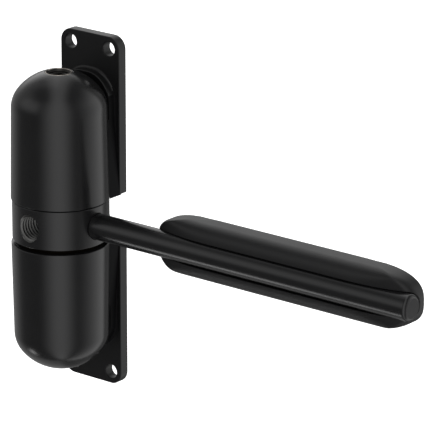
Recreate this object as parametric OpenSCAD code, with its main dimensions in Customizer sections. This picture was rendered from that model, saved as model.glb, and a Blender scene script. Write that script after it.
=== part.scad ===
// Surface-mounted spring gate closer.
// Two domed barrels hold torsion springs. The collar between them carries a round arm,
// which presses on a grooved guide that is screwed to the gate.
// Origin: centre of the four screw holes, on the back face of the plate.
// +X runs along the arm at rest, +Z is up, and the plate's back faces +Y.

/* [Mounting plate] */
// Width of the plate
plate_w = 34.2; // [33:0.1:40]
// Height of the plate
plate_h = 166; // [160:1:190]
// Thickness of the plate
plate_t = 5; // [4:0.5:8]
// Radius of the plate's four corners
plate_corner_r = 6; // [3:0.5:10]
// Diameter of the four screw holes
screw_hole_d = 6.6; // [4:0.1:7.5]
// Distance between the screw holes across the plate
hole_span_x = 22.3; // [20:0.1:24]
// Distance between the screw holes up the plate
hole_span_z = 154.4; // [148:0.1:158]
// Height of the notch that lets the arm swing back
notch_h = 16.6; // [14:0.1:17.5]
// Width of the neck that is left between the two notches
neck_w = 14; // [12:0.5:18]
// Radius in the inner corners of the notches
notch_corner_r = 5; // [2:0.5:6]
// Gap between the collar and the neck
neck_relief = 0.5; // [0.3:0.1:1]
// Distance from the front of the plate to the barrels' axis
axis_standoff = 21.4; // [20.8:0.1:22]
// Height of the collar's middle above the middle of the plate
collar_rise = 1.3; // [0:0.1:3]

/* [Cradles on the plate] */
// Width of the arched end of each cradle
cradle_w = 29; // [26:0.5:32]
// Length of each cradle past its barrel's mouth
cradle_len = 55.4; // [50:0.1:57]
// Radius of the arch's corners
cradle_arch_r = 13; // [6:0.5:14]
// How far the arch stands out from the plate
cradle_rise = 4.1; // [3:0.1:5]
// Length of the part of each cradle that widens to the plate's edges
cradle_flare_len = 36; // [25:1:42]

/* [Barrels] */
// Outer radius of a barrel at its mouth
barrel_mouth_r = 22.4; // [22:0.1:24]
// Outer radius of a barrel where its dome starts
barrel_shoulder_r = 21.7; // [21:0.1:22.4]
// Height of the dome
dome_h = 17.5; // [15:0.1:19]
// Radius of the dome's shoulder, less than the dome's height
dome_shoulder_arc = 13.6; // [10:0.1:14]
// Radius of the bore that holds a spring
barrel_bore_r = 17.5; // [17:0.1:18]
// Depth of that bore from the mouth
barrel_bore_depth = 50; // [44:0.5:56]
// Metal from the floor of that bore to the top of the dome
crown_t = 9.5; // [9.2:0.1:12]
// How much longer the lower barrel's outside is than the upper one's
lower_extra = 1.2; // [0:0.1:2]
// Radius of the recess past the bore
crown_recess_r = 12; // [11:0.1:13]
// Depth of the recess past the bore
crown_recess_depth = 4; // [3:0.5:5]
// Radius of the hole in the crown of the upper barrel
crown_hole_r = 6.2; // [6:0.1:7]
// Width of the flat rim of the bush in that hole
crown_bush_rim = 0.2; // [0.1:0.05:0.4]

/* [Drive collar] */
// Outer radius of the collar
collar_r = 21.9; // [21:0.1:22.2]
// Height of the collar
collar_h = 18.4; // [17:0.1:20]
// Edge chamfer of the collar
collar_chamfer = 0.5; // [0.2:0.1:1]
// Gap between the collar and the upper barrel
upper_gap = 0.4; // [0.3:0.1:1]
// Gap between the collar and the lower barrel
lower_gap = 1.9; // [1.2:0.1:3]
// Radius of the two hubs that turn in the bushes
hub_r = 16; // [15.8:0.05:16.3]
// Height of each hub past the collar's face
hub_h = 6; // [5:0.5:7]
// Radius of the threaded arm holes, at the crests of the thread
arm_thread_r = 5.1; // [4.2:0.05:5.3]
// Radius of the countersink at each arm hole's mouth
arm_sink_r = 6.4; // [6.3:0.05:6.8]
// Distance from the axis to the floor of each arm hole
arm_hole_floor = 9; // [8:0.5:10]

/* [Bushes and washers] */
// Length of each flanged bush inside its barrel
bush_len = 5; // [4:0.5:7]
// Radius of a bush's flange
bush_flange_r = 19.5; // [18.5:0.1:20]
// Depth that the flange is let into the barrel's mouth
bush_flange_inset = 0.8; // [0.5:0.1:1.5]
// How far a bush's flange stands out of the barrel
bush_flange_proud = 0.3; // [0.1:0.05:0.3]
// Outer radius of the thrust washer under the collar
thrust_washer_r = 19.2; // [18:0.1:20]

/* [Spindle] */
// Radius of the spindle
spindle_r = 6; // [5.5:0.1:6.5]
// Radius of the journals at its two ends
journal_r = 4; // [3:0.1:4.5]
// Length of the upper journal past the adjuster's flange
journal_past = 1; // [0.5:0.1:2]
// Width and height of the key
key_w = 4; // [3:0.5:5]
// Length of the key
key_len = 14; // [10:1:16]
// Outer radius of the retaining rings
circlip_r = 8.5; // [8:0.1:9.5]
// Thickness of the retaining rings
circlip_t = 1.1; // [0.8:0.1:1.5]
// Depth of their grooves
circlip_groove = 0.6; // [0.4:0.1:1]
// Width of their opening
circlip_opening = 4; // [3:0.5:6]

/* [Springs] */
// Mean radius of a spring
spring_r = 12.8; // [12.5:0.1:13]
// Radius of the spring wire
wire_r = 2; // [1.5:0.1:2.1]
// Turns in each spring
spring_turns = 6; // [4:0.5:6]
// Radius of the bend from a coil into its leg
leg_bend_r = 4.5; // [4:0.5:6]
// Depth of the leg holes in the hubs, the adjuster and the anchor
leg_hole_depth = 4.5; // [3:0.5:5]

/* [Tension adjuster] */
// Thickness of the adjuster's flange
flange_t = 5.5; // [5.5:0.5:7]
// Radius of the neck that shows in the crown
neck_r = 4.75; // [4.5:0.05:5.2]
// Hexagon socket, across its flats
socket_flats = 6; // [5:0.5:6.5]
// Depth of the socket
socket_depth = 5; // [4:0.5:6]
// How far the neck's end lies below the rim of its bush
neck_sunk = 1.6; // [0.5:0.1:2.5]
// Thickness of the washer above the flange
adjuster_washer_t = 1; // [0.5:0.1:1.5]

/* [Lower anchor] */
// Thickness of the anchor disc
anchor_t = 6; // [6:0.5:8]
// Radius of the two dowels
dowel_r = 1.5; // [1:0.1:1.6]
// Length of the dowels
dowel_len = 6; // [5:0.5:7]
// Depth of the dowels in the floor of the lower barrel
dowel_seat = 2; // [1.5:0.1:2.2]
// Distance from the axis to each dowel
dowel_at = 14; // [13.8:0.1:14.4]

/* [Barrel screws] */
// Thread radius of the screws that hold the barrels
barrel_screw_r = 2.45; // [2:0.05:2.6]
// Radius of their countersunk heads
barrel_screw_head_r = 5; // [4:0.1:5.5]
// Distance from a barrel's mouth to its first screw
barrel_screw_start = 14; // [11:0.5:18]
// Distance between the two screws of a barrel
barrel_screw_span = 22; // [15:0.5:24]

/* [Arm] */
// Radius of the arm
arm_r = 6; // [5.5:0.1:6.1]
// Distance from the barrels' axis to the tip of the arm
arm_reach = 195; // [185:0.1:240]
// Radius of the rounding at the tip
arm_tip_r = 1.8; // [0.5:0.1:2.5]

/* [Slide guide] */
// Length of the guide
guide_len = 140.6; // [110:0.1:150]
// Height of the guide
guide_h = 26.6; // [24:0.1:32]
// Length of the nose at each end, where the height falls away
guide_nose_len = 30; // [20:1:40]
// Fullness of the noses: 2 gives half of an ellipse, and more makes them blunter
guide_nose_full = 2.9; // [2:0.1:4]
// Distance from the barrels' axis to the middle of the guide
guide_mid = 124; // [110:1:130]
// Distance from the arm's axis back to the face that lies on the gate
guide_back = 9.6; // [9:0.1:12]
// Thickness of the guide without its groove, from the front to the gate
guide_t = 12.9; // [11:0.1:14]
// Fullness of the front across its height: 2 is half of an ellipse, and more makes it flatter
guide_front_full = 3.3; // [2:0.1:4]
// Radius of the fall of the front towards each end
guide_fall_r = 104; // [80:1:160]
// Length of the front that falls at each end
guide_fall_len = 35.3; // [20:0.1:36]
// Gap between the arm and the groove
guide_groove_gap = 0.3; // [0.2:0.05:0.5]
// Distance between the two screw holes
guide_hole_span = 109; // [80:0.5:120]
// Diameter of the guide's screw holes
guide_hole_d = 5.5; // [4:0.1:6]
// Diameter of their countersinks
guide_sink_d = 9.6; // [8:0.1:10]

/* [Fits] */
// Radial clearance of parts that turn in one another
running_fit = 0.05; // [0.02:0.01:0.1]
// Clearance of parts that are pressed, keyed or screwed together
seat_fit = 0.05; // [0.02:0.01:0.1]
// Clearance between castings, and between faces that pass each other
cast_gap = 0.3; // [0.2:0.05:0.5]
// Radial clearance of a spring leg in its hole
leg_fit = 0.15; // [0.1:0.05:0.3]

/* [Hidden] */
$fn = 96;

// Extra length that lets a cut run clear of a face
cut = 1;
// Heights are counted up from the middle of the collar for the upper barrel,
// and down from it for the lower one, which is the same barrel upside down with a thicker crown
collar_face = collar_h / 2;
hub_end = collar_face + hub_h;
upper_mouth = collar_face + upper_gap;
lower_mouth = collar_face + lower_gap;
barrel_len = barrel_bore_depth + crown_t;
wall_h = barrel_len - dome_h;
// The dome is an oval: a tight arc at the shoulder runs into a wide arc at the crown
crown_arc = (pow(barrel_shoulder_r, 2) + pow(dome_h, 2) - 2 * barrel_shoulder_r * dome_shoulder_arc)
    / (2 * (dome_h - dome_shoulder_arc));
shoulder_centre = barrel_shoulder_r - dome_shoulder_arc;
crown_centre = dome_h - crown_arc;
arc_dir = [shoulder_centre, -crown_centre] / (crown_arc - dome_shoulder_arc);
// The rim of the crown's hole lies where the dome is as wide as the hole
crown_rim = wall_h + crown_centre + sqrt(pow(crown_arc, 2) - pow(crown_hole_r, 2));

axis_back = axis_standoff + plate_t;
notch_edge = notch_h / 2;
flange_top = upper_mouth + barrel_bore_depth - adjuster_washer_t;
flange_bottom = flange_top - flange_t;
anchor_top = lower_mouth + barrel_bore_depth - anchor_t;
neck_top = upper_mouth + crown_rim - neck_sunk;
socket_floor = neck_top - socket_depth;
journal_end = flange_top + journal_past;
anchor_boss_end = lower_mouth + barrel_bore_depth + crown_recess_depth - cast_gap;
leg_hole_r = wire_r + leg_fit;
// The legs stand between the arm holes, and the far leg ends where the winding takes it
leg_angle = 45;
far_leg_angle = leg_angle + 360 * spring_turns + 2 * leg_bend_r / spring_r * 180 / PI;
key_angle = 135;
groove_r = arm_r + guide_groove_gap;

// Everything that is centred on the barrels' axis is drawn here with the collar's middle at zero
module on_axis() {
    translate([0, -axis_back, collar_rise]) children();
}

// Turns an upright piece over for the lower barrel
module upside_down() {
    mirror([0, 0, 1]) children();
}

// Stands a flat drawing up against the plane y = at_y and gives it depth towards the front
module upright(at_y, depth) {
    translate([0, at_y, 0]) rotate([90, 0, 0]) linear_extrude(depth) children();
}

// A rectangle with rounded corners, centred
module rounded_rect(w, h, r) {
    square([w - 2 * r, h], center = true);
    square([w, h - 2 * r], center = true);
    for (side_x = [-1, 1], side_z = [-1, 1])
        translate([side_x * (w / 2 - r), side_z * (h / 2 - r)]) circle(r);
}

module ring(outer_r, inner_r, h) {
    difference() {
        cylinder(r = outer_r, h = h);
        translate([0, 0, -cut]) cylinder(r = inner_r, h = h + 2 * cut);
    }
}

// Half of a barrel's outline, mouth at zero, grown all round by grow and made longer by extra
module barrel_outline(grow, extra) {
    wall = wall_h + extra;
    polygon([[0, 0], [barrel_mouth_r + grow, 0], [barrel_shoulder_r + grow, wall], [0, wall]]);
    translate([0, wall]) {
        intersection() {
            translate([0, crown_centre]) circle(crown_arc + grow);
            square([(crown_arc + grow) * arc_dir[0], dome_h + grow]);
        }
        intersection() {
            translate([shoulder_centre, 0]) circle(dome_shoulder_arc + grow);
            translate([shoulder_centre, 0]) square(dome_shoulder_arc + grow);
        }
    }
}

// Places of the two screws of a barrel, pointing to the front from the plate's back
module at_barrel_screws(mouth) {
    for (row = [0, 1])
        translate([0, axis_back, mouth + barrel_screw_start + row * barrel_screw_span])
            rotate([90, 0, 0]) children();
}

module barrel_screw() {
    translate([0, 0, cast_gap]) {
        cylinder(r1 = barrel_screw_head_r, r2 = barrel_screw_r, h = barrel_screw_head_r - barrel_screw_r);
        cylinder(r = barrel_screw_r, h = axis_back - barrel_bore_r - 2 * cast_gap);
    }
}

// The hole and countersink for such a screw, through the plate
module barrel_screw_hole() {
    wide = barrel_screw_head_r + seat_fit;
    narrow = barrel_screw_r + seat_fit;
    translate([0, 0, -cut]) cylinder(r = wide, h = cut + cast_gap);
    translate([0, 0, cast_gap]) cylinder(r1 = wide, r2 = narrow, h = wide - narrow);
    cylinder(r = narrow, h = axis_back);
}

// Places of the two dowels, on the floor of the lower barrel's bore
module at_dowels() {
    for (side = [-1, 1])
        rotate([0, 0, far_leg_angle + side * 90])
            translate([dowel_at, 0, lower_mouth + barrel_bore_depth]) children();
}

module anchor_dowel(grow) {
    translate([0, 0, dowel_seat - dowel_len - grow]) cylinder(r = dowel_r + grow, h = dowel_len + 2 * grow);
}

module cradle_outline() {
    reach = upper_mouth + cradle_len - notch_edge;
    translate([0, reach / 2]) rounded_rect(cradle_w, reach, cradle_arch_r);
    translate([-cradle_w / 2, 0]) square([cradle_w, reach / 2]);
}

// One cradle: an arch behind the barrel, which widens to the plate's edges near the collar
module cradle(mouth, extra) {
    difference() {
        translate([0, 0, notch_edge]) {
            upright(axis_standoff + cut, cradle_rise + cut) cradle_outline();
            upright(axis_standoff + cut, axis_standoff + cut)
                polygon([
                    [-plate_w / 2, 0],
                    [plate_w / 2, 0],
                    [cradle_w / 2, cradle_flare_len],
                    [-cradle_w / 2, cradle_flare_len]
                ]);
        }
        translate([0, 0, mouth]) rotate_extrude() barrel_outline(seat_fit, extra);
    }
}

module mounting_plate() {
    color("black") difference() {
        union() {
            upright(0, plate_t) difference() {
                rounded_rect(plate_w, plate_h, plate_corner_r);
                for (side = [-1, 1])
                    translate([side * (neck_w + plate_w) / 2, collar_rise])
                        rounded_rect(plate_w, notch_h, notch_corner_r);
            }
            on_axis() {
                cradle(upper_mouth, 0);
                upside_down() cradle(lower_mouth, lower_extra);
            }
        }
        for (side_x = [-1, 1], side_z = [-1, 1])
            translate([side_x * hole_span_x / 2, cut, side_z * hole_span_z / 2])
                rotate([90, 0, 0]) cylinder(d = screw_hole_d, h = plate_t + 2 * cut);
        on_axis() {
            // The collar turns clear of the neck, and both barrels sink a little into the plate
            translate([0, 0, -lower_mouth])
                cylinder(r = collar_r + neck_relief, h = upper_mouth + lower_mouth);
            translate([0, 0, upper_mouth]) rotate_extrude() barrel_outline(seat_fit, 0);
            upside_down() translate([0, 0, lower_mouth]) rotate_extrude()
                barrel_outline(seat_fit, lower_extra);
            at_barrel_screws(upper_mouth) barrel_screw_hole();
            upside_down() at_barrel_screws(lower_mouth) barrel_screw_hole();
        }
    }
}

// A barrel without its own holes, mouth at zero and dome up
module barrel_casting(extra) {
    difference() {
        rotate_extrude() barrel_outline(0, extra);
        translate([0, 0, -cut]) cylinder(r = barrel_bore_r, h = barrel_bore_depth + cut);
        cylinder(r = crown_recess_r, h = barrel_bore_depth + crown_recess_depth);
        translate([0, 0, -cut]) cylinder(r = bush_flange_r + seat_fit, h = bush_flange_inset + cut);
        at_barrel_screws(0)
            cylinder(r = barrel_screw_r + seat_fit, h = axis_back - barrel_bore_r + cut);
    }
}

module upper_barrel() {
    color("black") on_axis() translate([0, 0, upper_mouth]) difference() {
        barrel_casting(0);
        cylinder(r = crown_hole_r, h = barrel_len + cut);
    }
}

module lower_barrel() {
    color("black") on_axis() upside_down() difference() {
        translate([0, 0, lower_mouth]) barrel_casting(lower_extra);
        at_dowels() anchor_dowel(seat_fit);
    }
}

module upper_barrel_screws() {
    color("dimgray") on_axis() at_barrel_screws(upper_mouth) barrel_screw();
}

module lower_barrel_screws() {
    color("dimgray") on_axis() upside_down() at_barrel_screws(lower_mouth) barrel_screw();
}

// A bush with its flange in a barrel's mouth, mouth at zero and bore up
module flanged_bush() {
    difference() {
        union() {
            translate([0, 0, -bush_flange_proud])
                cylinder(r = bush_flange_r, h = bush_flange_proud + bush_flange_inset);
            cylinder(r = barrel_bore_r - seat_fit, h = bush_len);
        }
        translate([0, 0, -cut]) cylinder(r = hub_r + running_fit, h = bush_len + 2 * cut);
    }
}

module upper_bush() {
    color("tan") on_axis() translate([0, 0, upper_mouth]) flanged_bush();
}

module lower_bush() {
    color("tan") on_axis() upside_down() translate([0, 0, lower_mouth]) flanged_bush();
}

module thrust_washer() {
    near = collar_face + running_fit;
    far = lower_mouth - bush_flange_proud;
    color("silver") on_axis() upside_down()
        translate([0, 0, near]) ring(thrust_washer_r, hub_r + cast_gap, far - near);
}

// The ring in the crown, countersunk so that a key finds the socket
module adjuster_bush() {
    bottom = upper_mouth + barrel_bore_depth + crown_recess_depth;
    top = upper_mouth + crown_rim;
    narrow = neck_r + running_fit;
    wide = crown_hole_r - seat_fit - crown_bush_rim;
    color("dimgray") on_axis() difference() {
        translate([0, 0, bottom]) ring(crown_hole_r - seat_fit, narrow, top - bottom);
        translate([0, 0, top - wide + narrow])
            cylinder(r1 = narrow, r2 = wide + cut, h = wide - narrow + cut);
    }
}

module adjuster_washer() {
    color("silver") on_axis() translate([0, 0, flange_top])
        ring(barrel_bore_r - cast_gap, crown_recess_r + cast_gap, adjuster_washer_t);
}

// A hole for the far leg of a spring, sunk into a face at the given height
module far_leg_hole(face) {
    rotate([0, 0, far_leg_angle]) translate([spring_r, 0, face - cut])
        cylinder(r = leg_hole_r, h = leg_hole_depth + cut);
}

module lower_spring_anchor() {
    floor_at = lower_mouth + barrel_bore_depth;
    color("gray") on_axis() upside_down() difference() {
        union() {
            translate([0, 0, anchor_top]) cylinder(r = barrel_bore_r - seat_fit, h = anchor_t);
            translate([0, 0, floor_at - cut])
                cylinder(r = crown_recess_r - seat_fit, h = anchor_boss_end - floor_at + cut);
        }
        translate([0, 0, anchor_top - cut]) cylinder(r = journal_r + running_fit, h = anchor_t + 2 * cut);
        far_leg_hole(anchor_top);
        at_dowels() anchor_dowel(seat_fit);
    }
}

module anchor_dowels() {
    color("silver") on_axis() upside_down() at_dowels() anchor_dowel(0);
}

// The adjuster: a flange that holds the upper spring, and a neck with a hexagon socket
module tension_adjuster() {
    boss_top = upper_mouth + barrel_bore_depth + crown_recess_depth - cast_gap;
    color("dimgray") on_axis() difference() {
        union() {
            translate([0, 0, flange_bottom])
                cylinder(r = barrel_bore_r - cast_gap, h = flange_t - running_fit);
            translate([0, 0, flange_bottom])
                cylinder(r = crown_recess_r - cast_gap, h = boss_top - flange_bottom);
            translate([0, 0, flange_bottom]) cylinder(r = neck_r, h = neck_top - flange_bottom);
        }
        translate([0, 0, socket_floor])
            cylinder(d = socket_flats / cos(30), h = socket_depth + cut, $fn = 6);
        translate([0, 0, flange_bottom - cut])
            cylinder(r = journal_r + running_fit, h = journal_end - flange_bottom + cut);
        far_leg_hole(flange_bottom);
    }
}

// The collar and its two hubs, turned from one bar
module drive_collar() {
    color("black") on_axis() difference() {
        rotate_extrude() polygon([
            [0, -hub_end],
            [hub_r, -hub_end],
            [hub_r, -collar_face],
            [collar_r - collar_chamfer, -collar_face],
            [collar_r, -collar_face + collar_chamfer],
            [collar_r, collar_face - collar_chamfer],
            [collar_r - collar_chamfer, collar_face],
            [hub_r, collar_face],
            [hub_r, hub_end],
            [0, hub_end]
        ]);
        translate([0, 0, -hub_end - cut]) cylinder(r = spindle_r + seat_fit, h = 2 * (hub_end + cut));
        rotate([0, 0, key_angle]) translate([0, -key_w / 2 - seat_fit, -hub_end - cut])
            cube([spindle_r + key_w / 2 + seat_fit, key_w + 2 * seat_fit, 2 * (hub_end + cut)]);
        for (turn = [0, -90, 180])
            rotate([0, 0, turn]) arm_hole();
        for (half = [0, 1])
            mirror([0, 0, half]) rotate([0, 0, leg_angle])
                translate([spring_r, 0, hub_end - leg_hole_depth])
                    cylinder(r = leg_hole_r, h = leg_hole_depth + cut);
    }
}

// One threaded hole along +X, with its countersink
module arm_hole() {
    sink = arm_sink_r - arm_thread_r;
    rotate([0, 90, 0]) {
        translate([0, 0, arm_hole_floor]) cylinder(r = arm_thread_r, h = collar_r);
        translate([0, 0, collar_r - sink])
            cylinder(r1 = arm_thread_r, r2 = arm_sink_r + cut, h = sink + cut);
    }
}

module center_spindle() {
    color("silver") on_axis() difference() {
        union() {
            translate([0, 0, -anchor_top + cast_gap])
                cylinder(r = spindle_r, h = anchor_top + flange_bottom - 2 * cast_gap);
            translate([0, 0, -anchor_top - anchor_t])
                cylinder(r = journal_r, h = anchor_top + anchor_t + journal_end - cast_gap);
        }
        for (half = [0, 1])
            mirror([0, 0, half]) translate([0, 0, hub_end])
                ring(spindle_r + cut, spindle_r - circlip_groove, circlip_t + 2 * seat_fit);
        rotate([0, 0, key_angle])
            translate([spindle_r - key_w / 2 - seat_fit, -key_w / 2 - seat_fit, -key_len / 2 - seat_fit])
                cube([key_w, key_w + 2 * seat_fit, key_len + 2 * seat_fit]);
    }
}

module spindle_key() {
    color("silver") on_axis() rotate([0, 0, key_angle])
        translate([spindle_r - key_w / 2, -key_w / 2, -key_len / 2]) cube([key_w, key_w, key_len]);
}

// Two open retaining rings, one above the upper hub and one below the lower hub
module spindle_circlips() {
    color("dimgray") on_axis() for (half = [0, 1])
        mirror([0, 0, half]) translate([0, 0, hub_end + seat_fit]) difference() {
            ring(circlip_r, spindle_r - circlip_groove + seat_fit, circlip_t);
            rotate([0, 0, leg_angle]) translate([0, -circlip_opening / 2, -cut])
                cube([circlip_r + cut, circlip_opening, circlip_t + 2 * cut]);
        }
}

// Rings of the spring's wire. Unrolled, its path is a leg, a quarter bend, the coil,
// a quarter bend and a leg: each step is [distance round, height, slope of the path].
function spring_path(near, far) =
    let(
        run = 2 * PI * spring_r * spring_turns,
        low = near + cast_gap,
        high = far - cast_gap,
        steps = round(12 * spring_turns),
        bends = 4,
        grip = leg_hole_depth - cast_gap,
        climb = high - low - 2 * leg_bend_r
    ) concat(
        [[0, near - grip, 90]],
        [for (i = [0 : bends - 1]) let(a = 90 * i / bends)
            [leg_bend_r * (1 - cos(a)), low + leg_bend_r * sin(a), 90 - a]],
        [for (i = [0 : steps]) let(part = i / steps)
            [leg_bend_r + run * part, low + leg_bend_r + climb * part, atan(climb / run)]],
        [for (i = [1 : bends]) let(a = 90 * i / bends)
            [leg_bend_r + run + leg_bend_r * sin(a), high - leg_bend_r * cos(a), a]],
        [[2 * leg_bend_r + run, far + grip, 90]]
    );

module torsion_spring(near, far) {
    path = spring_path(near, far);
    sides = 8;
    last = len(path) - 1;
    points = [
        for (step = path, side = [0 : sides - 1])
            let(
                round_a = leg_angle + step[0] / spring_r * 180 / PI,
                wire_a = 360 * side / sides,
                out = wire_r * cos(wire_a),
                up = wire_r * sin(wire_a)
            ) [
                (spring_r + out) * cos(round_a) + up * sin(step[2]) * sin(round_a),
                (spring_r + out) * sin(round_a) - up * sin(step[2]) * cos(round_a),
                step[1] + up * cos(step[2])
            ]
    ];
    faces = concat(
        [for (i = [0 : last - 1], side = [0 : sides - 1], half = [0, 1])
            let(
                a = i * sides + side,
                b = i * sides + (side + 1) % sides,
                c = b + sides,
                d = a + sides
            ) half == 0 ? [a, b, c] : [a, c, d]],
        [[for (side = [0 : sides - 1]) sides - 1 - side]],
        [[for (side = [0 : sides - 1]) last * sides + side]]
    );
    polyhedron(points, faces);
}

module upper_spring() {
    color("gray") on_axis() torsion_spring(hub_end, flange_bottom);
}

module lower_spring() {
    color("gray") on_axis() upside_down() torsion_spring(hub_end, anchor_top);
}

// The round arm, threaded into the collar, with a shoulder that sits in the countersink
module arm_rod() {
    thread_r = arm_thread_r - seat_fit;
    shoulder = collar_r - (arm_sink_r - arm_thread_r) + 2 * seat_fit;
    thread_end = arm_hole_floor + cast_gap;
    color("black") on_axis() rotate([0, 90, 0]) {
        translate([0, 0, thread_end]) cylinder(r = thread_r, h = shoulder - thread_end + cut);
        translate([0, 0, shoulder]) cylinder(r1 = thread_r, r2 = arm_r, h = arm_r - thread_r);
        translate([0, 0, shoulder + arm_r - thread_r])
            cylinder(r = arm_r, h = arm_reach - arm_tip_r - shoulder - arm_r + thread_r);
        translate([0, 0, arm_reach - arm_tip_r]) rotate_extrude() {
            square([arm_r - arm_tip_r, arm_tip_r]);
            intersection() {
                translate([arm_r - arm_tip_r, 0]) circle(arm_tip_r, $fn = 32);
                square([arm_r, arm_tip_r]);
            }
        }
    }
}

// Outline of the guide seen from the front: straight edges that run into two slim noses
module guide_front() {
    steps = 20;
    nose = [for (i = [-steps : steps]) let(turn = 90 * i / steps, part = cos(turn)) [
        guide_len / 2 - guide_nose_len * (1 - part),
        sign(turn) * guide_h / 2 * pow(1 - pow(part, guide_nose_full), 1 / guide_nose_full)
    ]];
    polygon(concat(nose, [for (point = nose) -point]));
}

// Section across the guide: flat in the middle of its front and rounded down to its long edges
module guide_section() {
    steps = 16;
    front = [for (i = [-steps : steps]) let(turn = 90 * i / steps, part = cos(turn)) [
        guide_back - guide_t * part,
        sign(turn) * guide_h / 2 * pow(1 - pow(part, guide_front_full), 1 / guide_front_full)
    ]];
    polygon(front);
}

// Outline of the guide seen from above: a straight front that falls away at both ends
module guide_plan(apex) {
    flat_half = guide_len / 2 - guide_fall_len;
    translate([-flat_half, apex]) square([2 * flat_half, guide_back - apex]);
    for (half = [0, 1])
        mirror([half, 0]) intersection() {
            translate([flat_half, apex + guide_fall_r]) circle(guide_fall_r);
            translate([flat_half - cut, apex]) square([guide_fall_len + cut, guide_back - apex]);
        }
}

// The guide: domed in front, flat on the gate's side, with a groove that the arm slides in
module slide_guide() {
    apex = guide_back - guide_t;
    sink = (guide_sink_d - guide_hole_d) / 2;
    color("black") on_axis() translate([guide_mid, 0, 0]) difference() {
        intersection() {
            translate([0, 0, -guide_h]) linear_extrude(2 * guide_h) guide_plan(apex);
            upright(guide_back + cut, guide_back + cut - apex + cut) guide_front();
            rotate([90, 0, 90]) translate([0, 0, -guide_len]) linear_extrude(2 * guide_len) guide_section();
        }
        rotate([0, 90, 0]) translate([0, 0, -guide_len]) cylinder(r = groove_r, h = 2 * guide_len);
        translate([-guide_len, apex - cut, -groove_r]) cube([2 * guide_len, cut - apex, 2 * groove_r]);
        for (side = [-1, 1])
            translate([side * guide_hole_span / 2, 0, 0]) rotate([-90, 0, 0]) {
                cylinder(d = guide_hole_d, h = guide_back + cut);
                translate([0, 0, groove_r - cut])
                    cylinder(r1 = guide_sink_d / 2 + cut, r2 = guide_hole_d / 2, h = sink + cut);
            }
    }
}

mounting_plate();
upper_barrel();
lower_barrel();
upper_barrel_screws();
lower_barrel_screws();
upper_bush();
lower_bush();
thrust_washer();
adjuster_bush();
adjuster_washer();
lower_spring_anchor();
anchor_dowels();
tension_adjuster();
drive_collar();
center_spindle();
spindle_key();
spindle_circlips();
upper_spring();
lower_spring();
arm_rod();
slide_guide();
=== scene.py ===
"""Surface-mounted spring gate closer: domed barrels on a plate, a collar with an arm, a grooved guide."""

import math

import bmesh
import bpy
from mathutils import Matrix, Vector


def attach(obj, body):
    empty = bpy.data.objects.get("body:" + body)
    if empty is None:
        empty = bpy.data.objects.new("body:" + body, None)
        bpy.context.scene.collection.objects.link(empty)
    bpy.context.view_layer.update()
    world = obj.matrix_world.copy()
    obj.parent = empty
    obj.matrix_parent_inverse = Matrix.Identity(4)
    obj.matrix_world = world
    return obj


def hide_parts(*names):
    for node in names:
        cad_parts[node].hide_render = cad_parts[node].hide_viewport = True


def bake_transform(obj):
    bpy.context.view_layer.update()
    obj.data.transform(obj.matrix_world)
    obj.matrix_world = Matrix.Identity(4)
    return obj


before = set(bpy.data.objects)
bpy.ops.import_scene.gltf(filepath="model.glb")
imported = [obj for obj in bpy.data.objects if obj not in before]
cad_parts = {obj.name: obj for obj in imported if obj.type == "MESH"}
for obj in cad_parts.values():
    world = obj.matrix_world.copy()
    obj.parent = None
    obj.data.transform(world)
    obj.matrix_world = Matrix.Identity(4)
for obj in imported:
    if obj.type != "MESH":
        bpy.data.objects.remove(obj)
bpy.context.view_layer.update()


# Camera: it stands far off, to the right of the closer and a little above it, with a long lens
# that keeps the upright edges almost parallel. The picture is 430 by 430.
MM = 0.001
axis = Vector((0, -26.4, 1.3)) * MM  # the barrels' axis, at the middle of the collar
turn, tilt, lean = math.radians(38.355), math.radians(18.398), math.radians(0.129)
camera_far, camera_right, camera_up = 1583.171, 69.882, 0.782

back = Vector((math.sin(turn) * math.cos(tilt), -math.cos(turn) * math.cos(tilt), math.sin(tilt)))
level = Vector((math.cos(turn), math.sin(turn), 0))
upward = back.cross(level)
right = level * math.cos(lean) + upward * math.sin(lean)
up = upward * math.cos(lean) - level * math.sin(lean)
camera = bpy.data.objects.new("camera", bpy.data.cameras.new("camera"))
bpy.context.scene.collection.objects.link(camera)
camera.data.sensor_width, camera.data.lens = 36, 293.02
camera.data.clip_end = 30
place = axis + (back * camera_far + right * camera_right + up * camera_up) * MM
camera.matrix_world = Matrix.Translation(place) @ Matrix((right, up, back)).transposed().to_4x4()
bpy.context.scene.camera = camera


# Mounting plate: one aluminium casting with a black powder coat, four screw holes, a notch on each
# side for the arm, and two arched cradles that the barrels are seated in.
# Everything is drawn in millimetres round the barrels' axis, with the collar's middle at z = 0.
plate_w, plate_h = 34.2, 166
plate_corner, notch_corner, notch_lip, plate_edge = 6, 5, 0.9, 0.35
plate_low = -1.3  # the plate's middle, a little below the collar's
neck_w, notch_h = 14, 16.6
plate_front, plate_back = 21.4, 26.4
screw_hole_r, hole_span_x, hole_span_z = 3.3, 22.3, 154.4
cradle_w, cradle_len, cradle_arch, cradle_rise = 29, 55.4, 13, 4.1
cradle_fillet, cradle_rim, flare_len, arch_spare = 1.3, 0.5, 36, 6
collar_r, collar_h, neck_relief = 21.9, 18.4, 0.5
upper_mouth, lower_mouth = 9.6, 11.1
barrel_mouth_r, barrel_shoulder_r, wall_h, lower_extra = 22.4, 21.7, 42, 1.2
shoulder_at, crown_arc, crown_at = 8.1, 23.974, -6.474
seat_gap = 0.05
barrel_screw_r, barrel_head_r, screw_rows = 2.5, 5.05, (14, 36)
head_sunk, shank_start = 0.3, 17
overrun = 1  # how far a cutter runs past the face that it opens
pigment = (0.006, 0.006, 0.0065), (0.009, 0.009, 0.0095)
# a darker pigment for the cradles' flanks and seats: painted shade
cradle_shade_pigment = (0.004, 0.004, 0.0045), (0.006, 0.006, 0.0065)


def points(found):
    return [part for part in found if isinstance(part, bmesh.types.BMVert)]


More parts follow.
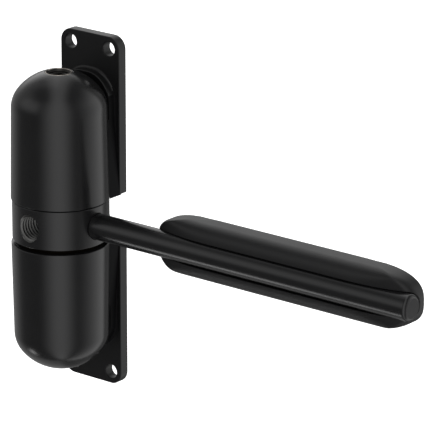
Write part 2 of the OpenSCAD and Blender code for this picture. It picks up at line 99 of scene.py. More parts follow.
def drawing(corners):
    """A flat face on the plane y = 0, through (x, z, radius of the corner)."""
    bm = bmesh.new()
    ring = [bm.verts.new((x, 0, z)) for x, z, _ in corners]
    bm.faces.new(ring)
    for corner, (_, _, radius) in zip(ring, corners):
        if radius:
            bmesh.ops.bevel(bm, geom=[corner], offset=radius, offset_type="OFFSET", segments=12,
                            profile=0.5, affect="VERTICES", material=-1)
    return bm


def deepen(bm, near, far):
    """Turns a flat drawing into a solid between the planes y = near and y = far."""
    bmesh.ops.translate(bm, vec=(0, near, 0), verts=bm.verts[:])
    grown = bmesh.ops.extrude_face_region(bm, geom=bm.faces[:])["geom"]
    bmesh.ops.translate(bm, vec=(0, far - near, 0), verts=points(grown))
    bmesh.ops.recalc_face_normals(bm, faces=bm.faces[:])
    return bm


def round_edges(bm, width):
    """Rounds the outward edges that turn by more than 40 degrees."""
    edges = [e for e in bm.edges if e.calc_face_angle_signed(0) > math.radians(40)]
    bmesh.ops.bevel(bm, geom=edges, offset=width, offset_type="OFFSET", segments=3,
                    profile=0.5, affect="EDGES", clamp_overlap=False, material=-1)
    return bm


def rod(radius, near, far, tip_radius=None, sides=64):
    """A round bar or cone along +Y."""
    bm = bmesh.new()
    bmesh.ops.create_cone(bm, cap_ends=True, segments=sides, radius1=radius,
                          radius2=radius if tip_radius is None else tip_radius, depth=far - near)
    return moved(swung(bm, -90, "X"), y=(near + far) / 2)


def moved(bm, x=0, y=0, z=0):
    bmesh.ops.translate(bm, vec=(x, y, z), verts=bm.verts[:])
    return bm


def swung(bm, degrees, about="Z"):
    bmesh.ops.rotate(bm, cent=(0, 0, 0), matrix=Matrix.Rotation(math.radians(degrees), 3, about),
                     verts=bm.verts[:])
    return bm


def upside_down(bm):
    """The same form for the lower barrel's side."""
    bmesh.ops.scale(bm, vec=(1, 1, -1), verts=bm.verts[:])
    bmesh.ops.reverse_faces(bm, faces=bm.faces[:])
    return bm


def line(bm, tip, x, z):
    """Draws on from a point of a half outline to (x, z), and gives the new point."""
    point = bm.verts.new((x, 0, z))
    bm.edges.new((tip, point))
    return point


def arc(bm, tip, x, z, degrees, steps):
    """Draws on from a point with an arc about (x, z)."""
    swept = bmesh.ops.spin(bm, geom=[tip], cent=(x, 0, z), axis=(0, 1, 0),
                           angle=math.radians(degrees), steps=steps)
    return points(swept["geom_last"])[0]


def turned(bm, axis_dir=(0, 0, 1), steps=144):
    """Spins a half outline into a solid."""
    bmesh.ops.spin(bm, geom=bm.verts[:] + bm.edges[:], cent=(0, 0, 0), axis=axis_dir,
                   angle=math.tau, steps=steps, use_merge=True)
    bmesh.ops.remove_doubles(bm, verts=bm.verts[:], dist=1e-4)
    bmesh.ops.recalc_face_normals(bm, faces=bm.faces[:])
    return bm


def barrel_outside(bm, tip, grow, wall, end_r):
    """The outside of a barrel from its mouth over the dome, until the dome is as narrow as end_r."""
    tip = line(bm, tip, barrel_mouth_r + grow, 0)
    tip = line(bm, tip, barrel_shoulder_r + grow, wall)
    meet = math.degrees(math.atan2(-crown_at, shoulder_at))
    tip = arc(bm, tip, shoulder_at, wall, -meet, 14)
    end = math.degrees(math.acos(end_r / (crown_arc + grow)))
    return arc(bm, tip, 0, wall + crown_at, meet - end, 18)


def barrel_seat(wall):
    """The room that a barrel takes up, mouth at z = 0."""
    bm = bmesh.new()
    barrel_outside(bm, bm.verts.new((0, 0, 0)), seat_gap, wall, 0)
    return turned(bm)


def blank(bm):
    """A loose object, still in millimetres round the barrels' axis."""
    mesh = bpy.data.meshes.new("blank")
    bm.to_mesh(mesh)
    bm.free()
    piece = bpy.data.objects.new("blank", mesh)
    bpy.context.scene.collection.objects.link(piece)
    return piece


def worked_in(piece):
    """Makes a piece's modifier part of its mesh."""
    graph = bpy.context.evaluated_depsgraph_get()
    shaped = bpy.data.meshes.new_from_object(piece.evaluated_get(graph))
    piece.modifiers.clear()
    piece.data = shaped


def carve(piece, tools, how="DIFFERENCE"):
    """Cuts solids out of a piece, or joins them to it."""
    for bm in tools:
        tool = blank(bm)
        step = piece.modifiers.new("carve", "BOOLEAN")
        step.operation, step.solver, step.object = how, "EXACT", tool
        worked_in(piece)
        bpy.data.objects.remove(tool)
    return piece


def settle(piece, name, look, body, nodes, flats=True):
    """Gives a finished piece its place in metres, its shading, its material and its body."""
    crease = math.radians(35)
    piece.name = piece.data.name = name
    piece.data.transform(Matrix.Translation(axis) @ Matrix.Scale(MM, 4))
    bm = bmesh.new()
    bm.from_mesh(piece.data)
    for face in bm.faces:
        face.smooth = True
    for edge in bm.edges:
        edge.smooth = edge.calc_face_angle(0) < crease
    bm.to_mesh(piece.data)
    bm.free()
    piece.data.materials.clear()
    piece.data.materials.append(look)
    if flats:
        even = piece.modifiers.new("even", "WEIGHTED_NORMAL")
        even.keep_sharp = True
    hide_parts(*nodes)
    if body:
        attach(piece, body)
    return piece


def finish_where(piece, look, chosen):
    """Gives the faces that are chosen by their middle, in millimetres round the axis, another finish."""
    piece.data.materials.append(look)
    for face in piece.data.polygons:
        if chosen((face.center - axis) / MM, face.normal):
            face.material_index = len(piece.data.materials) - 1


def coat(name, dark, light, roughness, shine=0.5):
    """A sprayed or moulded black skin: fine orange peel, and a finish that varies a little."""
    peel_w, peel_deep, rough_swing = 0.7 * MM, 0.004 * MM, 0.02
    look = bpy.data.materials.new(name)
    look.use_nodes = True
    nodes, links = look.node_tree.nodes, look.node_tree.links
    shader = nodes["Principled BSDF"]
    where = nodes.new("ShaderNodeTexCoord")
    patches = nodes.new("ShaderNodeTexNoise")
    patches.inputs["Scale"].default_value = 70
    patches.inputs["Detail"].default_value = 4
    links.new(where.outputs["Object"], patches.inputs["Vector"])
    tone = nodes.new("ShaderNodeMix")
    tone.data_type = "RGBA"
    tone.inputs["A"].default_value, tone.inputs["B"].default_value = (*dark, 1), (*light, 1)
    links.new(patches.outputs["Fac"], tone.inputs["Factor"])
    links.new(tone.outputs["Result"], shader.inputs["Base Color"])
    sheen = nodes.new("ShaderNodeMapRange")
    sheen.inputs["From Min"].default_value, sheen.inputs["From Max"].default_value = 0.3, 0.7
    sheen.inputs["To Min"].default_value = roughness - rough_swing
    sheen.inputs["To Max"].default_value = roughness + rough_swing
    links.new(patches.outputs["Fac"], sheen.inputs["Value"])
    links.new(sheen.outputs["Result"], shader.inputs["Roughness"])
    skin = nodes.new("ShaderNodeTexNoise")
    skin.inputs["Scale"].default_value = 1 / peel_w
    skin.inputs["Detail"].default_value = 2
    links.new(where.outputs["Object"], skin.inputs["Vector"])
    bump = nodes.new("ShaderNodeBump")
    bump.inputs["Strength"].default_value = 0.5
    bump.inputs["Distance"].default_value = peel_deep
    links.new(skin.outputs["Fac"], bump.inputs["Height"])
    links.new(bump.outputs["Normal"], shader.inputs["Normal"])
    shader.inputs["IOR"].default_value = 1.5
    shader.inputs["Specular IOR Level"].default_value = shine
    return look


notch_low, notch_high = -notch_h / 2, notch_h / 2
half_w, neck = plate_w / 2, neck_w / 2
top, bottom = plate_low + plate_h / 2, plate_low - plate_h / 2
plate = deepen(drawing([
    (half_w, top, plate_corner), (-half_w, top, plate_corner),
    (-half_w, notch_high, notch_lip), (-neck, notch_high, notch_corner),
    (-neck, notch_low, notch_corner), (-half_w, notch_low, notch_lip),
    (-half_w, bottom, plate_corner), (half_w, bottom, plate_corner),
    (half_w, notch_low, notch_lip), (neck, notch_low, notch_corner),
    (neck, notch_high, notch_corner), (half_w, notch_high, notch_lip),
]), plate_front, plate_back)
plate = carve(blank(plate), [
    moved(rod(screw_hole_r, plate_front - 2 * overrun, plate_back + 2 * overrun),
          x=side_x * hole_span_x / 2, z=plate_low + side_z * hole_span_z / 2)
    for side_x in (-1, 1) for side_z in (-1, 1)
])
bm = bmesh.new()
bm.from_mesh(plate.data)
round_edges(bm, plate_edge).to_mesh(plate.data)
bm.free()


def cradle(mouth):
    """An arch with a fillet round its foot and a soft rim, and the wedge that widens it to the notch."""
    foot, wide = notch_h / 2, cradle_w / 2 + cradle_fillet
    crest, low, corner = mouth + cradle_len + cradle_fillet, foot - arch_spare, cradle_arch + cradle_fillet
    arch = drawing([(wide, crest, corner), (-wide, crest, corner), (-wide, low, 0), (wide, low, 0)])
    moved(arch, y=plate_front + overrun)
    base = bmesh.ops.extrude_face_region(arch, geom=arch.faces[:])["geom"]
    bmesh.ops.translate(arch, vec=(0, -overrun, 0), verts=points(base))
    face = next(f for f in base if isinstance(f, bmesh.types.BMFace))
    bmesh.ops.recalc_face_normals(arch, faces=arch.faces[:])
    fillet_steps, rim_steps, straight = 6, 4, cradle_rise - cradle_rim
    bends = [math.radians(90 * i / fillet_steps) for i in range(fillet_steps + 1)]
    profile = [(cradle_fillet * math.sin(a), cradle_fillet * (1 - math.cos(a))) for a in bends]
    profile.append((cradle_fillet, straight))
    bends = [math.radians(90 * i / rim_steps) for i in range(1, rim_steps + 1)]
    profile += [(cradle_fillet + cradle_rim * (1 - math.cos(a)), straight + cradle_rim * math.sin(a))
                for a in bends]
    for (inward, high), (next_inward, next_high) in zip(profile, profile[1:]):
        bmesh.ops.inset_region(arch, faces=[face], thickness=next_inward - inward, depth=next_high - high,
                               use_even_offset=True, use_boundary=True)
    bmesh.ops.bisect_plane(arch, geom=arch.verts[:] + arch.edges[:] + arch.faces[:], plane_co=(0, 0, foot),
                           plane_no=(0, 0, -1), clear_outer=True)
    bmesh.ops.holes_fill(arch, edges=[e for e in arch.edges if e.is_boundary])
    bmesh.ops.recalc_face_normals(arch, faces=arch.faces[:])
    wedge = deepen(drawing([(half_w, foot, 0), (cradle_w / 2, foot + flare_len, 0),
                            (-cradle_w / 2, foot + flare_len, 0), (-half_w, foot, 0)]),
                   0, plate_front + overrun)
    return [arch, wedge]


carve(plate, cradle(upper_mouth) + [upside_down(bm) for bm in cradle(lower_mouth)], "UNION")
relief = bmesh.new()
bmesh.ops.create_cone(relief, cap_ends=True, segments=144, radius1=collar_r + neck_relief,
                      radius2=collar_r + neck_relief, depth=upper_mouth + lower_mouth)
carve(plate, [
    moved(barrel_seat(wall_h), z=upper_mouth),
    upside_down(moved(barrel_seat(wall_h + lower_extra), z=lower_mouth)),
    moved(relief, z=(upper_mouth - lower_mouth) / 2),
])
head_top = plate_back - head_sunk
for sign, mouth in ((1, upper_mouth), (-1, lower_mouth)):
    for row in screw_rows:
        head = rod(barrel_screw_r, head_top - barrel_head_r + barrel_screw_r, head_top, barrel_head_r)
        rim = rod(barrel_head_r, head_top, plate_back + overrun)
        shank = rod(barrel_screw_r, shank_start, plate_back)
        carve(plate, [moved(bm, z=sign * (mouth + row)) for bm in (shank, head, rim)])
plate_coat = coat("black_plate_coat", *pigment, roughness=0.38, shine=0.33)
settle(plate, "plate_casting", plate_coat, "housing", ["mounting_plate"])
# The cradle faces behind the plate's front that don't face up get a darker, duller coat. This is painted
# shade where the barrels and plate shade them.
cradle_shade_coat = coat("black_cradle_painted_shade", *cradle_shade_pigment, roughness=0.55, shine=0.06)
cradle_shade_margin, facing_up = 0.05, 0.3
finish_where(plate, cradle_shade_coat,
             lambda at, normal: at.y < plate_front - cradle_shade_margin and normal.z < facing_up)


# Barrels: two aluminium cans with the same domed outside, coated like the plate. Each stands on its
# mouth beside the collar and is held by two screws from behind the plate. Only the upper one has a
# hole in its crown.
bore_r, bore_depth, recess_r, recess_depth = 17.5, 50, 12, 4
flange_seat_r, flange_seat_depth, crown_hole_r = 19.55, 0.8, 6.2
barrel_edge = 0.35


def can(wall, hole_r):
    """A barrel with its mouth at z = 0. Without a hole, the crown is closed."""
    bm = bmesh.new()
    first = tip = bm.verts.new((flange_seat_r, 0, 0))
    tip = barrel_outside(bm, tip, 0, wall, hole_r)
    ceiling = bore_depth + recess_depth
    tip = line(bm, tip, hole_r, ceiling) if hole_r else bm.verts.new((0, 0, ceiling))
    for x, z in ((recess_r, ceiling), (recess_r, bore_depth), (bore_r, bore_depth),
                 (bore_r, flange_seat_depth), (flange_seat_r, flange_seat_depth)):
        tip = line(bm, tip, x, z)
    bm.edges.new((tip, first))
    return round_edges(turned(bm), barrel_edge)


def screw_bores(mouth):
    return [moved(rod(barrel_screw_r, bore_r - overrun, plate_back + overrun), z=mouth + row)
            for row in screw_rows]


black_coat = coat("black_powder_coat", *pigment, roughness=0.24)
upper = carve(blank(moved(can(wall_h, crown_hole_r), z=upper_mouth)), screw_bores(upper_mouth))
lower = blank(upside_down(moved(can(wall_h + lower_extra, 0), z=lower_mouth)))
carve(lower, [upside_down(bm) for bm in screw_bores(lower_mouth)])
settle(upper, "upper_can", black_coat, "housing", ["upper_barrel"])
settle(lower, "lower_can", black_coat, "housing", ["lower_barrel"])


# Barrel screws: four zinc-plated countersunk screws with hexagon sockets. They are driven from behind
# the plate into the barrels' walls, a little below its back face.
screw_r, screw_head_r, screw_long, screw_edge = 2.45, 5, 8.3, 0.15
socket_r, socket_deep = 1.75, 1.8


def metal(name, dark, light, roughness, across=(300, 300, 6000)):
    """Machined metal: fine tool marks that run round the axis, and a colour that varies along them."""
    mark_deep, rough_swing = 0.003 * MM, 0.08
    look = bpy.data.materials.new(name)
    look.use_nodes = True
    nodes, links = look.node_tree.nodes, look.node_tree.links
    shader = nodes["Principled BSDF"]
    shader.inputs["Metallic"].default_value = 1
    where = nodes.new("ShaderNodeTexCoord")
    stretch = nodes.new("ShaderNodeMapping")
    stretch.inputs["Scale"].default_value = across
    marks = nodes.new("ShaderNodeTexNoise")
    marks.inputs["Scale"].default_value = 1
    marks.inputs["Detail"].default_value = 3
    links.new(where.outputs["Object"], stretch.inputs["Vector"])
    links.new(stretch.outputs["Vector"], marks.inputs["Vector"])
    tone = nodes.new("ShaderNodeMix")
    tone.data_type = "RGBA"
    tone.inputs["A"].default_value, tone.inputs["B"].default_value = (*dark, 1), (*light, 1)
    links.new(marks.outputs["Fac"], tone.inputs["Factor"])
    links.new(tone.outputs["Result"], shader.inputs["Base Color"])
    sheen = nodes.new("ShaderNodeMapRange")
    sheen.inputs["To Min"].default_value = roughness - rough_swing
    sheen.inputs["To Max"].default_value = roughness + rough_swing
    links.new(marks.outputs["Fac"], sheen.inputs["Value"])
    links.new(sheen.outputs["Result"], shader.inputs["Roughness"])
    bump = nodes.new("ShaderNodeBump")
    bump.inputs["Strength"].default_value = 0.5
    bump.inputs["Distance"].default_value = mark_deep
    links.new(marks.outputs["Fac"], bump.inputs["Height"])
    links.new(bump.outputs["Normal"], shader.inputs["Normal"])
    return look


zinc = metal("zinc_plate", (0.3, 0.3, 0.29), (0.45, 0.45, 0.43), 0.36)
row_step = screw_rows[1] - screw_rows[0]
for name, first_row in (("upper", upper_mouth + screw_rows[0]), ("lower", -lower_mouth - screw_rows[1])):
    bm = bmesh.new()
    tip = bm.verts.new((0, 0, -screw_long))
    for x, z in ((screw_r - screw_edge, -screw_long), (screw_r, screw_edge - screw_long),
                 (screw_r, screw_r - screw_head_r), (screw_head_r - screw_edge, -screw_edge),
                 (screw_head_r - 2 * screw_edge, 0), (0, 0)):
        tip = line(bm, tip, x, z)
    swung(turned(bm, steps=64), -90, "X")
    second = bmesh.ops.duplicate(bm, geom=bm.verts[:] + bm.edges[:] + bm.faces[:])["geom"]
    bmesh.ops.translate(bm, vec=(0, 0, row_step), verts=points(second))
    screws = blank(moved(bm, y=head_top, z=first_row))
    for row in (0, row_step):
        socket = rod(socket_r, head_top - socket_deep, plate_back + overrun, sides=6)
        carve(screws, [moved(socket, z=first_row + row)])
    settle(screws, name + "_flat_screws", zinc, "housing", [name + "_barrel_screws"])


# Inside the barrels: a zinc-plated washer, dowels and key, oil-soaked bronze bushes and thrust washer
# darkened to near-black as painted shade in the gaps by the collar, and blackened turned steel for the
# spindle, its rings, the spring's anchor and the adjuster.
def dress(look, *names):
    """Gives carried-over solids their finish."""
    for name in names:
        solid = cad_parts[name].data
        solid.materials.clear()
        solid.materials.append(look)


dress(zinc, "adjuster_washer", "anchor_dowels", "spindle_key")
# Near-black bronze: oil-soaked bronze darkened further, as painted shade for the bushes and thrust washer
# in the gaps by the collar.
oiled_bronze_painted_shade = metal("oiled_bronze_painted_shade", (0.006, 0.0045, 0.003), (0.014, 0.01, 0.007), 0.6)
dress(oiled_bronze_painted_shade, "upper_bush", "lower_bush", "thrust_washer")
blackened = metal("blackened_steel", (0.03, 0.029, 0.028), (0.06, 0.058, 0.055), 0.4)
dress(blackened, "lower_spring_anchor", "tension_adjuster", "center_spindle", "spindle_circlips")


# Crown bush: a turned ring pressed into the upper barrel's hole. It widens upwards to a thin bright
# rim, and the hexagon of the adjuster lies below it.
bush_r, bush_narrow, bush_low, bush_top, bush_rim = 6.15, 4.8, 63.6, 68.28, 0.2
bush_round, bush_bright = 0.3, 0.25
bm = bmesh.new()
first = tip = bm.verts.new((bush_r, 0, bush_low))
tip = line(bm, tip, bush_r, bush_top - bush_round)
tip = arc(bm, tip, bush_r - bush_round, bush_top - bush_round, -90, 6)
funnel = bush_r - bush_rim - bush_narrow
for x, z in ((bush_narrow + funnel - bush_round, bush_top - bush_round), (bush_narrow, bush_top - funnel),
             (bush_narrow, bush_low)):
    tip = line(bm, tip, x, z)
bm.edges.new((tip, first))
warm_steel = metal("warm_turned_steel", (0.3, 0.27, 0.24), (0.45, 0.41, 0.37), 0.3)
crown_bush = settle(blank(turned(bm)), "crown_bush_ring", warm_steel, "housing",
                    ["adjuster_bush"])
finish_where(crown_bush, blackened, lambda at, normal: at.xy.length < bush_r - bush_rim - bush_bright)


# Drive collar: turned from one bar with its two hubs. Three holes round it are threaded M12, so that
# the arm can be screwed in from the front or from either side; the ones that aren't used stay open.
hub_r, hub_end, spindle_bore = 16, 15.2, 6.05
collar_edge, collar_holes = 0.5, (0, -90, 180)
thread_pitch, thread_low, thread_high, hole_floor, sink_r = 1.75, 5.1, 6, 9, 6.4
thread_skin, outer_skin = 0.1, 0.15
key_turn, key_w, key_gap, leg_turn, leg_r, leg_hole_r, leg_depth = 135, 4, 0.1, 45, 12.8, 2.15, 4.5


def drawn_on(bm, ring, places):
    """Draws a closed ring of edges through a row of places and closes both ends."""
    for here, there in zip(places, places[1:]):
        out = bmesh.ops.extrude_edge_only(bm, edges=ring)["geom"]
        ring = [e for e in out if isinstance(e, bmesh.types.BMEdge)]
        bmesh.ops.transform(bm, matrix=there @ here.inverted(), verts=points(out))
    bmesh.ops.holes_fill(bm, edges=[e for e in bm.edges if e.is_boundary])
    bmesh.ops.recalc_face_normals(bm, faces=bm.faces[:])
    return bm


def screw_form(low, high, near, far):
    """A right-handed threaded bar along +Z. Every corner of its section runs up along one helix."""
    per_turn = 24
    bm = bmesh.new()
    bmesh.ops.create_circle(bm, segments=36, radius=1)
    for corner in bm.verts:
        off = abs(math.atan2(corner.co.y, corner.co.x)) / math.tau * thread_pitch
        slope = high - (off - thread_pitch / 16) / math.tan(math.radians(30))
        corner.co *= min(high, max(low, slope))
    moved(bm, z=near)
    steps = math.ceil((far - near) / thread_pitch * per_turn)
    places = [Matrix.Translation((0, 0, thread_pitch * i / per_turn))
              @ Matrix.Rotation(math.tau * i / per_turn, 4, "Z") for i in range(steps + 1)]
    return drawn_on(bm, bm.edges[:], places)


bm = bmesh.new()
first = tip = bm.verts.new((spindle_bore, 0, hub_end))
for x, z in ((hub_r, hub_end), (hub_r, collar_h / 2), (collar_r, collar_h / 2), (collar_r, -collar_h / 2),
             (hub_r, -collar_h / 2), (hub_r, -hub_end), (spindle_bore, -hub_end)):
    tip = line(bm, tip, x, z)
bm.edges.new((tip, first))
collar = blank(round_edges(turned(bm), collar_edge))
for side in collar_holes:
    sink = rod(thread_low, collar_r - (sink_r - thread_low), collar_r + overrun, sink_r + overrun)
    thread = screw_form(thread_low, thread_high, hole_floor, collar_r + overrun)
    carve(collar, [swung(swung(thread, 90, "Y"), side), swung(sink, side - 90)])
for half in (-1, 1):
    leg_hole = bmesh.new()
    bmesh.ops.create_cone(leg_hole, cap_ends=True, segments=48, radius1=leg_hole_r, radius2=leg_hole_r,
                          depth=2 * leg_depth)
    carve(collar, [swung(moved(leg_hole, x=leg_r, z=half * hub_end), leg_turn)])
keyway = bmesh.new()
bmesh.ops.create_cube(keyway, size=1)
bmesh.ops.scale(keyway, vec=(spindle_bore + key_w / 2, key_w + key_gap, 2 * (hub_end + overrun)),
                verts=keyway.verts[:])
carve(collar, [swung(moved(keyway, x=(spindle_bore + key_w / 2) / 2), key_turn)])
settle(collar, "drive_collar_turned", black_coat, "drive", ["drive_collar"])
bare_thread = metal("bare_thread", (0.1, 0.1, 0.098), (0.19, 0.19, 0.185), 0.38)


def in_thread(at, _normal):
    """Whether a face of the collar lies in one of its threaded holes."""
    if at.xy.length > collar_r - outer_skin:
        return False
    for side in collar_holes:
        outward = Vector((math.cos(math.radians(side)), math.sin(math.radians(side)), 0))
        deep = at.dot(outward)
        if deep > hole_floor - thread_skin and (at - deep * outward).length < sink_r:
            return True
    return False


finish_where(collar, bare_thread, in_thread)


# Torsion springs: six turns of round oiled wire in each barrel, with a straight leg at both ends. One
# leg is in the collar. The other is in the adjuster above, or in the fixed anchor below.
wire_r, turns, bend_r, leg_gap = 2, 6, 4.5, 0.3
adjuster_under, anchor_top = 53.1, 55.1


def spring_route(near, far):
    """Places along the wire's middle, from the collar's leg to the far one."""
    run, low, high = math.tau * leg_r * turns, near + leg_gap, far - leg_gap
    climb, grip, bend_steps, coil_steps = high - low - 2 * bend_r, leg_depth - leg_gap, 8, 36 * turns
    lead = math.degrees(math.atan2(climb, run))
    route = [(0, near - grip, 90)]
    for a in (90 * i / bend_steps for i in range(bend_steps)):
        bend = math.radians(a)
        route.append((bend_r * (1 - math.cos(bend)), low + bend_r * math.sin(bend), 90 - a))
    for i in range(coil_steps + 1):
        route.append((bend_r + run * i / coil_steps, low + bend_r + climb * i / coil_steps, lead))
    for a in (90 * i / bend_steps for i in range(1, bend_steps + 1)):
        bend = math.radians(a)
        route.append((bend_r + run + bend_r * math.sin(bend), high - bend_r * math.cos(bend), a))
    route.append((2 * bend_r + run, far + grip, 90))
    places = []
    for round_by, rise, slope in route:
        places.append(Matrix.Rotation(math.radians(leg_turn) + round_by / leg_r, 4, "Z")
                      @ Matrix.Translation((leg_r, 0, rise))
                      @ Matrix.Rotation(math.radians(slope - 90), 4, "X"))
    return places


def wire(places):
    bm = bmesh.new()
    bmesh.ops.create_circle(bm, segments=16, radius=wire_r, matrix=places[0])
    return drawn_on(bm, bm.edges[:], places)


def twisting(bm, name, node):
    """A length of spring wire, settled without a body, with its place baked into its mesh."""
    piece = settle(blank(bm), name, spring_wire, None, [node], flats=False)
    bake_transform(piece)


spring_wire = metal("oiled_spring_wire", (0.12, 0.115, 0.11), (0.2, 0.19, 0.18), 0.34, (700, 700, 1200))
upper_route = spring_route(hub_end, adjuster_under)
half_way, middle = len(upper_route) // 2, (hub_end + adjuster_under) / 2
twisting(wire(upper_route[:half_way + 1]), "upper_spring_wire_low", "upper_spring")
twisting(wire(upper_route[half_way:]), "upper_spring_wire_high", "upper_spring")
twisting(upside_down(wire(spring_route(hub_end, anchor_top))), "lower_spring_wire", "lower_spring")


# Arm: a round steel bar with the same black finish, screwed into the collar as far as its shoulder.
# Its free end is cut flat, with a rounded edge and a duller face.
arm_r, arm_start, arm_shoulder, arm_reach, arm_tip = 6, 9.3, 20.7, 195, 1.8
thread_gap, end_skin = 0.05, 0.05
bm = bmesh.new()
tip = bm.verts.new((arm_start, 0, 0))
for x, z in ((arm_start, thread_low - thread_gap), (arm_shoulder, thread_low - thread_gap),
             (arm_shoulder + arm_r - thread_low + thread_gap, arm_r), (arm_reach - arm_tip, arm_r)):
    tip = line(bm, tip, x, z)
tip = arc(bm, tip, arm_reach - arm_tip, arm_r - arm_tip, 90, 10)
line(bm, tip, arm_reach, 0)
arm_coat = coat("black_satin_steel", *pigment, roughness=0.24)
bar = settle(blank(turned(bm, (1, 0, 0), 96)), "arm_bar", arm_coat, "drive", ["arm_rod"])
end_coat = coat("black_satin_end", *pigment, roughness=0.45, shine=0.3)
finish_where(bar, end_coat, lambda at, normal: at.x > arm_reach - end_skin)


# Guide: a moulded bar that is screwed to the gate. Its front is domed and falls away at both round
# ends, and the arm slides in the open groove along its middle.
guide_len, guide_h, guide_mid, guide_back, guide_t = 140.6, 26.6, 124, 9.6, 12.9
guide_front_full, guide_fall, guide_fall_len = 3.3, 104, 35.3
guide_nose, guide_full, guide_soft, guide_tip_round = 30, 2.9, 1.5, 3.5
groove_r, groove_overrun, guide_edge = 6.12, 5, 0.4
guide_hole_r, guide_hole_at, guide_sink_r = 2.75, 54.5, 4.8
sink_run = 0.5  # how far the countersink's cone runs on inside the hole
guide_weld = 0.01  # points closer than this are merged

half_h = guide_h / 2
apex = guide_back - guide_t
bm = bmesh.new()
bmesh.ops.create_grid(bm, x_segments=160, y_segments=40, size=1)
for point in bm.verts:
    lengthwise = (point.co.x + math.sin(point.co.x * math.pi / 2)) / 2
    across = (point.co.y + 2 * math.sin(point.co.y * math.pi / 2)) / 3
    nose = guide_nose * (1 - (1 - abs(across) ** guide_full) ** (1 / guide_full))
    end_at = guide_len / 2 - nose
    x, z = lengthwise * end_at, half_h * across
    past = max(0, abs(x) - (guide_len / 2 - guide_fall_len))
    near_end = max(0, abs(x) - (end_at - guide_tip_round))
    crown = guide_back - guide_t * (1 - abs(across) ** guide_front_full) ** (1 / guide_front_full)
    fall = apex + guide_fall - math.sqrt(guide_fall ** 2 - past ** 2)
    fall += guide_tip_round - math.sqrt(max(0, guide_tip_round ** 2 - near_end ** 2))
    point.co = (x, (crown + fall + math.hypot(crown - fall, guide_soft) - guide_soft) / 2, z)
for point in points(bmesh.ops.extrude_face_region(bm, geom=bm.faces[:])["geom"]):
    point.co.y = guide_back
bmesh.ops.recalc_face_normals(bm, faces=bm.faces[:])
moved(bm, x=guide_mid)
groove = bmesh.new()
bmesh.ops.create_circle(groove, cap_ends=False, segments=96, radius=groove_r)
bmesh.ops.bisect_plane(groove, geom=groove.verts[:] + groove.edges[:], plane_co=(0, 0, 0),
                       plane_no=(0, -1, 0), clear_outer=True)
tips = [v for v in groove.verts if len(v.link_edges) == 1]
outer = [groove.verts.new((v.co.x, apex - groove_overrun, 0)) for v in tips]
for a, b in zip(tips, outer):
    groove.edges.new((a, b))
groove.edges.new(outer)
bmesh.ops.contextual_create(groove, geom=groove.edges[:])
grown = bmesh.ops.extrude_face_region(groove, geom=groove.faces[:])["geom"]
bmesh.ops.translate(groove, vec=(0, 0, guide_len + 2 * groove_overrun), verts=points(grown))
moved(groove, z=guide_mid - guide_len / 2 - groove_overrun)
swung(groove, 90, "Y")
bmesh.ops.recalc_face_normals(groove, faces=groove.faces[:])
holes = []
for side in (-1, 1):
    at = guide_mid + side * guide_hole_at
    cone = rod(guide_sink_r + overrun, groove_r - overrun,
               groove_r + guide_sink_r - guide_hole_r + sink_run, guide_hole_r - sink_run)
    holes += [moved(rod(guide_hole_r, 0, guide_back + overrun), x=at), moved(cone, x=at)]
guide = carve(blank(bm), [groove] + holes)
bm = bmesh.new()
bm.from_mesh(guide.data)
bmesh.ops.remove_doubles(bm, verts=bm.verts[:], dist=guide_weld)
bmesh.ops.dissolve_degenerate(bm, edges=bm.edges[:], dist=guide_weld)
bmesh.ops.holes_fill(bm, edges=[e for e in bm.edges if e.is_boundary], sides=0)
bm.to_mesh(guide.data)
bm.free()
soft = guide.modifiers.new("soft_edges", "BEVEL")
soft.limit_method, soft.angle_limit = "ANGLE", math.radians(38)
soft.width, soft.segments, soft.use_clamp_overlap = guide_edge, 4, False
worked_in(guide)
moulded = coat("black_moulding", *pigment, roughness=0.44, shine=0.38)
settle(guide, "guide_moulding", moulded, "guide", ["slide_guide"])


# Studio: a pale floor well below the closer, white all round for the camera, and a room that lights
# the closer through soft windows. Their sides are in degrees from the camera's own side, positive to
# the right in the picture, and their heights are in degrees above the level.
room_light, floor_at, floor_half = 0.2, -0.8, 4
windows = {  # strength, sides and heights, each from none to full and back to none
    "in front": (1.3, (-52, -3, 3, 46), (-91, -80, 50, 80)),
    "to the right": (1.25, (34, 112, 120, 127), (-91, -80, 20, 60)),
    "faint, behind on the left": (0.3, (-190, -181, -130, -98), (-91, -80, 72, 104)),
    "high on the left": (0.8, (-125, -90, -66, -35), (-6, 18, 26, 54)),
    "low on the left": (4, (-111, -102, -96, -87), (-57, -50, -45, -38)),
    "behind, up to the left": (1.3, (-190, -181, -165, -135), (2, 15, 30, 50)),
    "behind, up to the right": (1.3, (130, 160, 181, 190), (2, 15, 30, 50)),
}
strip_light, strip_across, strip_along = 1.1, (-24, -4, 4, 22), (50, 80, 125, 150)  # a strip overhead

world = bpy.data.worlds.new("studio")
bpy.context.scene.world = world
world.use_nodes = True
nodes, links = world.node_tree.nodes, world.node_tree.links


def reckon(operation, *values):
    """One step of arithmetic on numbers or on the outputs of other nodes."""
    node = nodes.new("ShaderNodeMath")
    node.operation = operation
    for socket, value in zip(node.inputs, values):
        if isinstance(value, (int, float)):
            socket.default_value = value
        else:
            links.new(value, socket)
    return node.outputs["Value"]


def along(direction, towards):
    node = nodes.new("ShaderNodeVectorMath")
    node.operation = "DOT_PRODUCT"
    links.new(direction, node.inputs[0])
    node.inputs[1].default_value = towards
    return node.outputs["Value"]


def between(angle, start, full, full_end, end):
    """1 from full to full_end, and softly down to 0 at start and at end, in degrees."""
    share = 1
    for near, far in ((start, full), (end, full_end)):
        node = nodes.new("ShaderNodeMapRange")
        node.interpolation_type = "SMOOTHSTEP"
        links.new(angle, node.inputs["Value"])
        node.inputs["From Min"].default_value = min(near, far)
        node.inputs["From Max"].default_value = max(near, far)
        node.inputs["To Min"].default_value = 0 if near < far else 1
        node.inputs["To Max"].default_value = 1 if near < far else 0
        share = reckon("MULTIPLY", node.outputs["Result"], share)
    return share


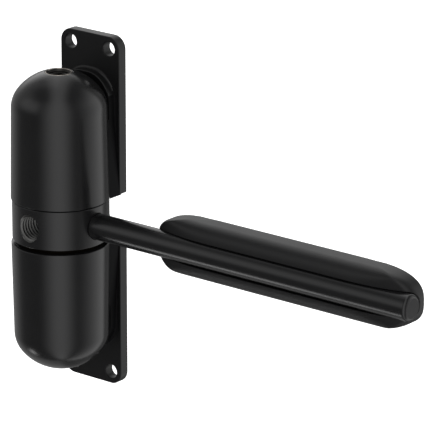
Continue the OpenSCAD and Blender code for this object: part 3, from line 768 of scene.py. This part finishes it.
out = nodes.new("ShaderNodeTexCoord").outputs["Generated"]
ahead = Vector((math.sin(turn), -math.cos(turn), 0))
side = reckon("DEGREES", reckon("ARCTAN2", along(out, level), along(out, ahead)))
height = reckon("DEGREES", reckon("ARCSINE", along(out, (0, 0, 1))))
sideways = reckon("DEGREES", reckon("ARCSINE", along(out, level)))
overway = reckon("DEGREES", reckon("ARCTAN2", along(out, (0, 0, 1)), along(out, ahead)))
brightness = room_light
for strength, sides, heights in windows.values():
    window = reckon("MULTIPLY", between(side, *sides), between(height, *heights))
    brightness = reckon("MULTIPLY_ADD", window, strength, brightness)
overhead = reckon("MULTIPLY", between(sideways, *strip_across), between(overway, *strip_along))
brightness = reckon("MULTIPLY_ADD", overhead, strip_light, brightness)

white = nodes["Background"]
white.inputs["Color"].default_value, white.inputs["Strength"].default_value = (1, 1, 1, 1), 1
room = nodes.new("ShaderNodeBackground")
links.new(brightness, room.inputs["Strength"])
path = nodes.new("ShaderNodeLightPath")
pick = nodes.new("ShaderNodeMixShader")
links.new(path.outputs["Is Camera Ray"], pick.inputs["Fac"])
links.new(room.outputs["Background"], pick.inputs[1])
links.new(white.outputs["Background"], pick.inputs[2])
links.new(pick.outputs["Shader"], nodes["World Output"].inputs["Surface"])

bm = bmesh.new()
bmesh.ops.create_grid(bm, x_segments=2, y_segments=2, size=floor_half)
moved(bm, z=floor_at)
mesh = bpy.data.meshes.new("floor")
bm.to_mesh(mesh)
bm.free()
floor = bpy.data.objects.new("floor", mesh)
bpy.context.scene.collection.objects.link(floor)
paper = bpy.data.materials.new("white_paper")
paper.use_nodes = True
nodes, links = paper.node_tree.nodes, paper.node_tree.links
shader = nodes["Principled BSDF"]
shader.inputs["Base Color"].default_value = (0.8, 0.8, 0.8, 1)
shader.inputs["Roughness"].default_value = 0.9
glow = nodes.new("ShaderNodeEmission")
path = nodes.new("ShaderNodeLightPath")
both = nodes.new("ShaderNodeAddShader")
links.new(path.outputs["Is Camera Ray"], glow.inputs["Strength"])
links.new(shader.outputs["BSDF"], both.inputs[0])
links.new(glow.outputs["Emission"], both.inputs[1])
links.new(both.outputs["Shader"], nodes["Material Output"].inputs["Surface"])
mesh.materials.append(paper)
floor.visible_glossy = False

bpy.context.scene.view_settings.view_transform = "Standard"
